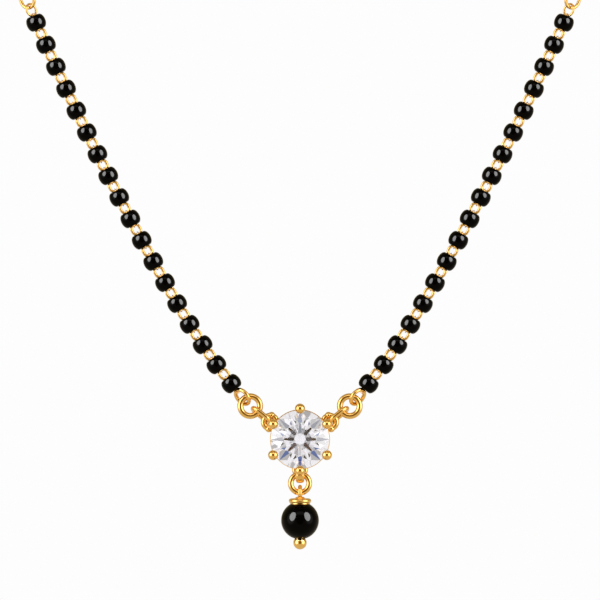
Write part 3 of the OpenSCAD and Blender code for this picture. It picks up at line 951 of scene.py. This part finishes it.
@dataclass
class BeadStrings:
    """The black beads of both sides, each on its own wire, with a small ring between each two."""

    links: SideLinks
    beads: int = 18
    bead_d: float = 2.62
    bead_h: float = 1.98
    bead_flat_d: float = 1.46
    ring_l: float = 1.75
    ring_w: float = 1.49
    ring_wire: float = 0.38
    ring_dip: float = 0.25
    end_dip: float = 0.1
    top_dip: float = 0.15
    lip: float = 0.035
    lip_bend: float = 0.3
    pin_wire: float = 0.16
    pin_slim: float = 0.9
    top_link_d: float = 1.95
    top_link_wire: float = 0.3
    top_link_turn: float = -45.0
    top_lean: float = 23.9
    chain_lean: float = 20.5
    lean_step: float = 0.43
    lean_flare: float = 7.4
    flare_beads: float = 1.9

    @property
    def last(self) -> int:
        """Number of the top bead, where the lowest is bead 0."""
        return self.beads - 1

    @property
    def top_link_r(self) -> float:
        """Radius to the middle of the top link's wire."""
        return (self.top_link_d - self.top_link_wire) / 2

    @property
    def pitch(self) -> float:
        """Distance between two beads."""
        return self.bead_h + self.ring_l - 2 * self.ring_dip

    @property
    def eye_at(self) -> float:
        """Distance of an eye from its bead's middle."""
        return self.pitch / 2 - (self.ring_l - self.ring_wire) / 2

    @property
    def top_eye_at(self) -> float:
        """Distance of the topmost eye from its bead's middle."""
        return self.bead_h / 2 - self.top_dip + self.top_link_wire / 2

    @property
    def pin_eye_r(self) -> float:
        """Radius of an eye that holds a small ring."""
        return GAPS.eye_r(self.ring_wire, self.pin_wire)

    @property
    def top_eye_r(self) -> float:
        """Radius of the eye that holds the top link."""
        return GAPS.eye_r(self.top_link_wire, self.pin_wire)

    @property
    def end_eye_r(self) -> float:
        """Radius of the eye that holds the turned link."""
        return GAPS.eye_r(self.links.end_wire, self.pin_wire)

    @property
    def end_eye_at(self) -> float:
        """Distance of the lowest eye from its bead's middle."""
        return self.bead_h / 2 - self.end_dip + self.links.end_wire / 2

    def lean(self, i: int) -> float:
        """Returns the lean between bead i and the next, which grows towards the pendant."""
        flare = self.lean_flare * math.exp(-i / self.flare_beads)
        return self.top_lean + self.lean_step * (self.last - 1 - i) + flare

    def bead_lean(self, i: int) -> float:
        """Works out the lean of a bead, midway between the leans below and above it.

        Args:
            i: the bead's number, where the lowest is 0.

        Returns:
            The lean from upright, in degrees.
        """
        below = self.links.end_lean if i == 0 else self.lean(i - 1)
        above = self.chain_lean if i == self.last else self.lean(i)
        return (below + above) / 2

    @cached_property
    def bead_at(self) -> np.ndarray:
        """Middles of the beads of the +X side, from the lowest up."""
        first = (self.links.end_at + self.links.end_r * leant(self.links.end_lean)
                 + self.end_eye_at * leant(self.bead_lean(0)))
        steps = [self.pitch * leant(self.lean(i)) for i in range(self.last)]
        return first + np.concatenate([[np.zeros(3)], np.cumsum(steps, axis=0)])

    @property
    def top_link_at(self) -> np.ndarray:
        """Middle of the small link on the top bead."""
        eye = self.bead_at[self.last] + self.top_eye_at * leant(self.bead_lean(self.last))
        return eye + self.top_link_r * leant(self.chain_lean)

    def bead(self) -> Surface:
        """Makes a bead about +Z: a bulging side, a soft-lipped mouth at each end and a fine bore.

        The bulge is an ellipse between the flats: r = flat + bulge cos a, z = half height times sin a.
        The profile is a closed loop, so the bore is open from end to end.

        Returns:
            The bead.
        """
        flat_r, half_h = self.bead_flat_d / 2, self.bead_h / 2
        chord = math.sqrt((self.ring_w / 2) ** 2 - (self.ring_w / 2 - self.ring_dip) ** 2)
        mouth_r = max(self.top_eye_r + self.pin_wire / 2, chord) + GAPS.mouth
        floor = self.eye_at - self.pin_eye_r - self.pin_wire / 2 - GAPS.mouth
        bore_r = self.pin_wire / 2 + GAPS.bore
        a = np.radians(np.linspace(-90, 90, 33))
        side = np.stack([flat_r + (self.bead_d / 2 - flat_r) * np.cos(a), half_h * np.sin(a)], axis=-1)
        lip, bend = self.lip, self.lip_bend * self.lip
        top = [[mouth_r + lip, half_h], [mouth_r + bend, half_h - bend], [mouth_r, half_h - lip],
               [mouth_r, floor], [bore_r, floor]]
        low = [[r, -z] for r, z in reversed(top)]
        return lathe(np.concatenate([side, top, low]), 48, closed=True)

    def wire(self, i: int) -> list[Surface]:
        """Makes a bead's wire: a straight pin with an eye at each end, square to what it holds.

        Args:
            i: the bead's number, where the lowest is 0.

        Returns:
            The pin, the lower eye and the upper eye.
        """
        low_r, low_at, low_turn = self.pin_eye_r, self.eye_at, 90.0
        top_r, top_at, top_turn = self.pin_eye_r, self.eye_at, 90.0
        if i == 0:
            low_r, low_at, low_turn = self.end_eye_r, self.end_eye_at, self.links.end_turn + 90
        if i == self.last:
            top_r, top_at, top_turn = self.top_eye_r, self.top_eye_at, self.top_link_turn + 90
        parts = [
            rod(low_r - low_at, top_at - top_r, self.pin_slim * self.pin_wire, 12),
            torus(low_r, self.pin_wire, 28, 10).faced().turned(turn_z(low_turn)).moved((0, 0, -low_at)),
            torus(top_r, self.pin_wire, 28, 10).faced().turned(turn_z(top_turn)).moved((0, 0, top_at)),
        ]
        return [s.hung(self.bead_at[i], self.bead_lean(i)) for s in parts]

    def pieces(self) -> list[Piece]:
        """Makes the strings of both sides.

        Returns:
            For each side its wires, its small rings, its top link and then its beads from the lowest.
        """
        small = oval_link(self.ring_l, self.ring_w, self.ring_wire, 18, 14)
        rings = [small.hung((self.bead_at[i] + self.bead_at[i + 1]) / 2, self.lean(i))
                 for i in range(self.last)]
        top = torus(self.top_link_r, self.top_link_wire, 56, 18).faced().hung(
            self.top_link_at, self.chain_lean, self.top_link_turn)
        out = []
        for side in Side:
            wires = [on_side(s, side) for i in range(self.beads) for s in self.wire(i)]
            out.append(Piece(f"bead_wires_{side.value}", wires))
            out.append(Piece(f"ring_links_{side.value}", [on_side(ring, side) for ring in rings]))
            out.append(Piece(f"top_link_{side.value}", [on_side(top, side)]))
            for i in range(self.beads):
                bead = self.bead().hung(self.bead_at[i], self.bead_lean(i))
                out.append(Piece(f"bead_{side.value}_{i + 1:02d}", [on_side(bead, side)], BLACK_GLASS))
        return out


@dataclass
class ChainAndClasp:
    """The cable chain that closes the loop behind the neck, its clasp and the ring that it hooks."""

    strings: BeadStrings
    link_l: float = 3.4
    link_w: float = 2.46
    wire: float = 0.46
    first_turn: float = 30.0
    clasp_d: float = 5.9
    clasp_wire: float = 1.1
    small_d: float = 3.4
    small_wire: float = 0.5
    eye_ease: float = 0.2
    eye_overlap: float = 0.35
    knob_share: float = 0.4
    knob_round: float = 0.12
    knob_turn: float = -35.0
    front_reach: float = 50.0
    nape_reach: float = 56.0
    steps: int = 240

    @property
    def clasp_r(self) -> float:
        """Radius to the middle of the clasp's ring."""
        return (self.clasp_d - self.clasp_wire) / 2

    @property
    def small_r(self) -> float:
        """Radius to the middle of the hooked ring's wire."""
        return (self.small_d - self.small_wire) / 2

    @property
    def eye_r(self) -> float:
        """Radius to the middle of the wire of the clasp's own eye."""
        return GAPS.eye_r(self.wire, self.small_wire) + self.eye_ease

    @property
    def row(self) -> tuple[float, float, float, float]:
        """Steps along X from one chain to the other: to the eye, the clasp, the ring and the chain."""
        return (
            GAPS.inside(self.eye_r, self.small_wire, self.wire),
            self.clasp_r + self.eye_r + self.eye_overlap * self.clasp_wire,
            self.clasp_r + self.small_r - GAPS.hook(self.clasp_wire, self.small_wire),
            GAPS.inside(self.small_r, self.small_wire, self.wire),
        )

    @cached_property
    def curve(self) -> tuple[np.ndarray, np.ndarray]:
        """Lengths run along the chain's curve and the curve's parameter at each, for the +X side."""
        t = np.arange(self.steps + 1) / self.steps
        run = np.linalg.norm(np.diff(self.bezier(t), axis=0), axis=1)
        return np.concatenate([[0.0], np.cumsum(run)]), t

    def bezier(self, t: np.ndarray) -> np.ndarray:
        """Works out the cubic that leaves the string straight and meets the nape level.

        Args:
            t: the curve's parameter, from 0 at the string to 1 at the clasp.

        Returns:
            The curve's point at each parameter.
        """
        s, half = self.strings, sum(self.row) / 2
        on = leant(s.chain_lean)
        start = PENDANT_AT + s.top_link_at + GAPS.inside(s.top_link_r, s.top_link_wire, self.wire) * on
        p = [start, start + self.front_reach * on,
             np.array([half + self.nape_reach, 0.0, 0.0]), np.array([half, 0.0, 0.0])]
        t = np.asarray(t, float)[..., None]
        rest = 1 - t
        return rest ** 3 * p[0] + 3 * rest ** 2 * t * p[1] + 3 * rest * t ** 2 * p[2] + t ** 3 * p[3]

    def along(self, length: float) -> np.ndarray:
        """Returns the point of the curve at a length run."""
        return self.bezier(np.interp(length, *self.curve))

    def chain(self, side: Side) -> list[Surface]:
        """Makes the links of one side: each square to the one before, with a slow twist to the clasp.

        Args:
            side: the side of the chain.

        Returns:
            The links from the string to the clasp.
        """
        span, total = self.link_l - self.wire, self.curve[0][-1]
        count = 1 + math.ceil((total - span) / (self.link_l - 2 * self.wire - GAPS.link))
        pitch = (total - span) / (count - 1)
        end_turn = 90 if side is Side.LEFT else 0
        twist = math.fmod(math.fmod(end_turn - self.first_turn - 90 * (count - 1), 180) + 270, 180) - 90
        link = oval_link(self.link_l, self.link_w, self.wire, 12, 12)
        out = []
        for i in range(count):
            s = span / 2 + pitch * i
            t = self.along(s + span / 2) - self.along(s - span / 2)
            t /= np.linalg.norm(t)
            across = np.cross(t, [0.0, 1.0, 0.0])
            across /= np.linalg.norm(across)
            turn = math.radians(self.first_turn + 90 * i + twist * i / (count - 1))
            x = math.cos(turn) * across + math.sin(turn) * np.cross(t, across)
            frame = np.stack([x, np.cross(t, x), t], axis=-1)
            out.append(on_side(link.turned(frame).moved(self.along(s)), side, np.zeros(3)))
        return out

    def pieces(self) -> list[Piece]:
        """Makes the chains and what closes them.

        Returns:
            Both chains, the clasp with its eye and knob, and the ring that it hooks.
        """
        hold, to_clasp, to_ring, _ = self.row
        x = hold + to_clasp - sum(self.row) / 2
        knob_r, knob_h, edge = self.knob_share * self.clasp_wire, self.clasp_wire, self.knob_round
        corner = arc((knob_r - edge, knob_h - edge), edge, 0, 90, 5)
        knob = lathe(np.concatenate([[[0, 0], [knob_r, 0]], corner, [[0, knob_h]]]), 24)
        clasp = [
            torus(self.clasp_r, self.clasp_wire, 96, 28).faced(),
            torus(self.eye_r, self.small_wire, 40, 16).faced().moved((-to_clasp, 0, 0)),
            knob.moved((0, 0, self.clasp_r)).turned(turn_y(self.knob_turn)),
        ]
        hooked = torus(self.small_r, self.small_wire, 64, 18).moved((x + to_ring, 0, 0))
        out = [Piece(f"chain_{side.value}", self.chain(side)) for side in Side]
        out.append(Piece("clasp", [s.moved((x, 0, 0)) for s in clasp]))
        out.append(Piece("clasp_ring", [hooked]))
        return out


# Studio


@dataclass(frozen=True)
class SoftBox:
    """A soft patch of light, as it is seen from the necklace.

    Args:
        azimuth: degrees to the right of the camera.
        elevation: degrees above level.
        wide: half width, as a share of the distance.
        tall: half height, as a share of the distance.
        power: brightness where a white wall has 1.
        core: share of the half size up to which the patch is at its brightest.
        rim: share of the half size at which it has faded out.
    """

    azimuth: float
    elevation: float
    wide: float
    tall: float
    power: float
    core: float = 0.5
    rim: float = 1.25

    def direction(self) -> np.ndarray:
        """Returns the unit vector from the necklace to the patch."""
        a, e = math.radians(self.azimuth), math.radians(self.elevation)
        return np.array([math.sin(a) * math.cos(e), -math.cos(a) * math.cos(e), math.sin(e)])

    def glow(self, tree: bpy.types.NodeTree, towards: bpy.types.NodeSocket) -> bpy.types.NodeSocket:
        """Adds the patch to a room: bright in its middle and faded out at its edge.

        The direction is turned so that the patch's middle lies on +Z, its X and Y are divided by the
        half width and height, and the brightness falls with the distance from the middle.

        Args:
            tree: the room's node tree.
            towards: the direction that is looked in.

        Returns:
            The patch's brightness in that direction.
        """
        turn = (90.0 - self.elevation, 0.0, self.azimuth)
        place = add_node(tree, "ShaderNodeVectorRotate", {
            "Vector": towards, "Rotation": [math.radians(v) for v in turn]},
            rotation_type="EULER_XYZ", invert=True)
        scaled = add_node(tree, "ShaderNodeVectorMath", {
            0: place.outputs["Vector"], 1: (1 / self.wide, 1 / self.tall, 1.0)}, operation="MULTIPLY")
        away = add_node(tree, "ShaderNodeVectorMath", {
            0: scaled.outputs["Vector"], 1: (0.0, 0.0, 1.0)}, operation="DISTANCE")
        fade = add_node(tree, "ShaderNodeMapRange", {
            "Value": away.outputs["Value"], "From Min": self.rim, "From Max": self.core,
            "To Min": 0.0, "To Max": self.power}, interpolation_type="SMOOTHSTEP")
        return fade.outputs["Result"]


@dataclass(frozen=True)
class MirroredTent:
    """What the metal mirrors: a tent that is pale below and dim above, with soft boxes in it.

    The dim and warm upper part gives the gold the amber that it has between its lights. The
    colours are linear.

    Args:
        below: colour below level.
        near: colour above level on the camera's side.
        far: colour above level on the far side.
        far_from: depth of a direction at which it has the far colour.
        level: heights of a direction between which the lower colour passes into the upper.
        shadow: colour of the camera's own shadow, a round dark patch.
        shadow_edge: depths of a direction between which that patch fades out.
        boxes: the soft boxes.
    """

    below: Colour = (0.72, 0.63, 0.47, 1)
    near: Colour = (0.29, 0.18, 0.06, 1)
    far: Colour = (0.52, 0.42, 0.22, 1)
    far_from: float = 0.6
    level: tuple[float, float] = (-0.02, 0.06)
    shadow: Colour = (0.2, 0.11, 0.03, 1)
    shadow_edge: tuple[float, float] = (-0.955, -0.9)
    boxes: tuple[SoftBox, ...] = (
        SoftBox(-60.0, 12.0, 0.45, 0.52, 2.7),
        SoftBox(60.0, 12.0, 0.45, 0.52, 2.7),
        SoftBox(0.0, 47.0, 0.55, 0.2, 1.6),
    )

    def colour(self, tree: bpy.types.NodeTree, towards: bpy.types.NodeSocket) -> bpy.types.NodeSocket:
        """Adds the tent: the upper colours by depth, then the lower one, the boxes and the shadow.

        Args:
            tree: the room's node tree.
            towards: the direction that is looked in.

        Returns:
            The tent's colour in that direction.
        """
        parts = add_node(tree, "ShaderNodeSeparateXYZ", {0: towards})
        depth = add_node(tree, "ShaderNodeMapRange", {
            "Value": parts.outputs["Y"], "From Min": -1.0, "From Max": self.far_from},
            interpolation_type="SMOOTHSTEP")
        above = add_node(tree, "ShaderNodeMix", {
            "Factor": depth.outputs["Result"], 6: self.near, 7: self.far}, data_type="RGBA")
        height = add_node(tree, "ShaderNodeMapRange", {
            "Value": parts.outputs["Z"], "From Min": self.level[0], "From Max": self.level[1]},
            interpolation_type="SMOOTHSTEP")
        room = add_node(tree, "ShaderNodeMix", {
            "Factor": height.outputs["Result"], 6: self.below, 7: above.outputs[2]}, data_type="RGBA")
        for box in self.boxes:
            room = add_node(tree, "ShaderNodeMix", {
                "Factor": 1.0, 6: room.outputs[2], 7: box.glow(tree, towards)},
                data_type="RGBA", blend_type="ADD", clamp_factor=False)
        outside = add_node(tree, "ShaderNodeMapRange", {
            "Value": parts.outputs["Y"],
            "From Min": self.shadow_edge[0], "From Max": self.shadow_edge[1]},
            interpolation_type="SMOOTHSTEP")
        shaded = add_node(tree, "ShaderNodeMix", {
            "Factor": outside.outputs["Result"], 6: self.shadow, 7: room.outputs[2]}, data_type="RGBA")
        return shaded.outputs[2]


@dataclass(frozen=True)
class StoneTent:
    """What the stone gathers: white cloth in folds, and round the camera its dark lens and hood.

    A brilliant turns light back by a few fixed angles, so each ring of directions round the camera
    fills one kind of facet. The colours are linear.

    Args:
        cloth: colour of the white cloth.
        folds: folds of the cloth in a unit of direction.
        fold_noise: values of the folds' noise between which the cloth goes from shade to light.
        fold_light: brightness of the cloth in shade and in light.
        heights: heights of a direction that are the start and end of the hood's and lens's ramps.
        hood: the hood's colours by height, from white cloth below it to a pale gap above it.
        lens: the lens's colours by height, from blue by black to pale blue.
        rings: each outer ring's edge, in degrees from the camera's direction, and its colour.
        hood_edge: the hood's edge, in the same degrees.
        lens_edge: the lens's edge.
        pupil_edge: the edge of the black opening in the lens.
    """

    cloth: Colour = (1.0, 0.99, 1.03, 1)
    folds: float = 4.5
    fold_noise: tuple[float, float] = (0.36, 0.5)
    fold_light: tuple[float, float] = (0.5, 1.05)
    heights: tuple[float, float] = (-0.15, 0.19)
    hood: Stops = ((0.05, (1, 1, 1.05)), (0.12, (0.06, 0.03, 0.025)), (0.3, (0, 0, 0)),
                   (0.85, (0, 0, 0)), (0.95, (0.35, 0.39, 0.45)))
    lens: Stops = ((0.3, (0.05, 0.12, 0.38)), (0.42, (0.05, 0.04, 0.04)),
                   (0.6, (0.05, 0.05, 0.06)), (0.8, (0.4, 0.46, 0.6)))
    rings: tuple[tuple[float, Colour], ...] = (
        (15.0, (0.62, 0.61, 0.63, 1)), (12.0, (1.1, 1.1, 1.13, 1)))
    hood_edge: float = 10.0
    lens_edge: float = 7.6
    pupil_edge: float = 6.1

    def colour(self, tree: bpy.types.NodeTree, towards: bpy.types.NodeSocket,
               to_camera: np.ndarray) -> bpy.types.NodeSocket:
        """Adds the cloth, and over it the rings from the widest to the narrowest.

        Args:
            tree: the room's node tree.
            towards: the direction that is looked in.
            to_camera: unit vector from the stone to the place of the camera.

        Returns:
            The tent's colour in that direction.
        """
        aligned = add_node(tree, "ShaderNodeVectorMath", {
            0: towards, 1: tuple(to_camera)}, operation="DOT_PRODUCT")
        angle = add_node(tree, "ShaderNodeMath", {0: aligned.outputs["Value"]}, operation="ARCCOSINE")
        folds = add_node(tree, "ShaderNodeTexNoise", {
            "Vector": towards, "Scale": self.folds, "Detail": 0.0})
        bright = add_node(tree, "ShaderNodeMapRange", {
            "Value": folds.outputs["Fac"],
            "From Min": self.fold_noise[0], "From Max": self.fold_noise[1],
            "To Min": self.fold_light[0], "To Max": self.fold_light[1]},
            interpolation_type="SMOOTHSTEP")
        tent = add_node(tree, "ShaderNodeMix", {
            "Factor": bright.outputs["Result"], 6: BLACK, 7: self.cloth},
            data_type="RGBA", clamp_factor=False)
        height = add_node(tree, "ShaderNodeMapRange", {
            "Value": add_node(tree, "ShaderNodeSeparateXYZ", {0: towards}).outputs["Z"],
            "From Min": self.heights[0], "From Max": self.heights[1]}).outputs["Result"]
        hood, lens = (add_node(tree, "ShaderNodeValToRGB", {"Fac": height}, stops).outputs["Color"]
                      for stops in (self.hood, self.lens))
        for edge, colour in (*self.rings, (self.hood_edge, hood), (self.lens_edge, lens),
                             (self.pupil_edge, BLACK)):
            within = add_node(tree, "ShaderNodeMath", {
                0: angle.outputs["Value"], 1: math.radians(edge)}, operation="LESS_THAN")
            tent = add_node(tree, "ShaderNodeMix", {
                "Factor": within.outputs["Value"], 6: tent.outputs[2], 7: colour}, data_type="RGBA")
        return tent.outputs[2]


@dataclass
class Studio:
    """Camera, room light, bead lamps and floor.

    The camera is a long lens that looks level along +Y, as the photo's does. It sees a plain
    near-white ground. Metal and stone each have a tent of their own, matt surfaces gather plain
    white light, and the black glass has two lamps that light nothing else.
    """

    frame_mm: float = 80.0
    frame_middle: tuple[float, float, float] = (0.0, -100.0, -93.4)
    distance_mm: float = 1000.0
    sensor_mm: float = 36.0
    backdrop: str = "#fdfdfd"
    matt_light: Colour = (0.92, 0.92, 0.92, 1)
    tent: MirroredTent = MirroredTent()
    stone_tent: StoneTent = StoneTent()
    lamps: tuple[SoftBox, ...] = (
        SoftBox(-50.0, 22.0, 0.46, 0.62, 62.0),
        SoftBox(50.0, 22.0, 0.46, 0.62, 62.0),
    )
    lamp_distance: float = 0.6
    lamp_spread: float = 1.5
    floor_z_mm: float = -420.0
    floor_half: float = 3.0
    floor_near: float = -8.0
    floor_far: float = 1.6
    board: str = "#f4f3f1"

    def camera(self) -> None:
        """Adds the camera in front of the pendant."""
        data = bpy.data.cameras.new("camera")
        data.sensor_width = self.sensor_mm
        data.lens = self.sensor_mm * self.distance_mm / self.frame_mm
        camera = bpy.data.objects.new("camera", data)
        x, y, z = self.frame_middle
        camera.location = (x * MM, (y - self.distance_mm) * MM, z * MM)
        camera.rotation_euler = (math.pi / 2, 0.0, 0.0)
        bpy.context.scene.collection.objects.link(camera)
        bpy.context.scene.camera = camera

    def room(self) -> None:
        """Lights the room for what the camera, metal, matt surfaces and the stone see of it."""
        world = bpy.data.worlds.new("white tent")
        world.use_nodes = True
        tree = world.node_tree
        tree.nodes.clear()
        towards = add_node(tree, "ShaderNodeTexCoord").outputs["Generated"]
        to_camera = np.array(self.frame_middle) - (0.0, self.distance_mm, 0.0) - PENDANT_AT
        to_camera /= np.linalg.norm(to_camera)
        path = add_node(tree, "ShaderNodeLightPath")
        seen = self.tent.colour(tree, towards)
        for ray, colour in (("Diffuse", self.matt_light),
                            ("Transmission", self.stone_tent.colour(tree, towards, to_camera)),
                            ("Camera", linear(self.backdrop))):
            switch = add_node(tree, "ShaderNodeMix", {
                "Factor": path.outputs[f"Is {ray} Ray"], 6: seen, 7: colour}, data_type="RGBA")
            seen = switch.outputs[2]
        light = add_node(tree, "ShaderNodeBackground", {"Color": seen})
        add_node(tree, "ShaderNodeOutputWorld", {"Surface": light.outputs["Background"]})
        bpy.context.scene.world = world

    def bead_lamps(self, beads: list[bpy.types.Object]) -> None:
        """Adds the lamps that draw the gloss on the black glass alone.

        Black glass mirrors little, so its lamps are stronger than gold could take. An elliptical
        lamp's power is its brightness times pi times its area.

        Args:
            beads: the pieces that the lamps light.
        """
        lit = bpy.data.collections.new("black glass")
        for piece in beads:
            lit.objects.link(piece)
        for box in self.lamps:
            data = bpy.data.lights.new("bead lamp", "AREA")
            data.shape = "ELLIPSE"
            data.size = self.lamp_spread * box.wide * self.lamp_distance
            data.size_y = self.lamp_spread * box.tall * self.lamp_distance
            data.energy = box.power * math.pi * math.pi / 4 * data.size * data.size_y
            lamp = bpy.data.objects.new("bead lamp", data)
            lamp.location = PENDANT_AT * MM + box.direction() * self.lamp_distance
            lamp.rotation_euler = (math.radians(90 - box.elevation), 0.0, math.radians(box.azimuth))
            lamp.visible_camera = False
            lamp.visible_diffuse = False
            bpy.context.scene.collection.objects.link(lamp)
            lamp.light_linking.receiver_collection = lit

    def floor(self) -> None:
        """Lays the plain pale floor under the necklace, longer towards the camera than behind."""
        half, near, far, z = self.floor_half, self.floor_near, self.floor_far, self.floor_z_mm * MM
        mesh = bpy.data.meshes.new("floor")
        corners = [(-half, near, z), (half, near, z), (half, far, z), (-half, far, z)]
        mesh.from_pydata(corners, [], [(0, 1, 2, 3)])
        material, tree = new_material("matte white board")
        board = add_node(tree, "ShaderNodeBsdfPrincipled", {
            "Base Color": linear(self.board), "Roughness": 0.9, "Specular IOR Level": 0.1})
        add_node(tree, "ShaderNodeOutputMaterial", {"Surface": board.outputs["BSDF"]})
        mesh.materials.append(material)
        floor = bpy.data.objects.new("floor", mesh)
        # The stone and the gold see the tent on this side too, and not the board far below them
        floor.visible_transmission = False
        floor.visible_glossy = False
        bpy.context.scene.collection.objects.link(floor)

    def set_up(self) -> None:
        """Adds the camera, the room and the floor, and shows colours as they are."""
        self.camera()
        self.room()
        self.floor()
        bpy.context.scene.view_settings.view_transform = "Standard"


def main(nodes: dict[str, bpy.types.Object]) -> None:
    """Builds the studio and the necklace's parts in order.

    Args:
        nodes: the CAD nodes by name.
    """
    studio = Studio()
    studio.set_up()
    stone = Stone()
    setting = Setting(stone)
    links = SideLinks(setting)
    strings = BeadStrings(links)
    beads = []
    for part in (setting, Drop(setting), links, strings, ChainAndClasp(strings)):
        for piece in part.pieces():
            made = piece.build()
            if piece.finish is BLACK_GLASS:
                beads.append(made)
            log.info("%s: %d faces", made.name, len(made.data.polygons))
    stone.dress(nodes)
    studio.bead_lamps(beads)


if __name__ == "__main__":
    logging.basicConfig(level=logging.INFO, format="%(message)s")
    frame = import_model()
    main(frame["nodes"])
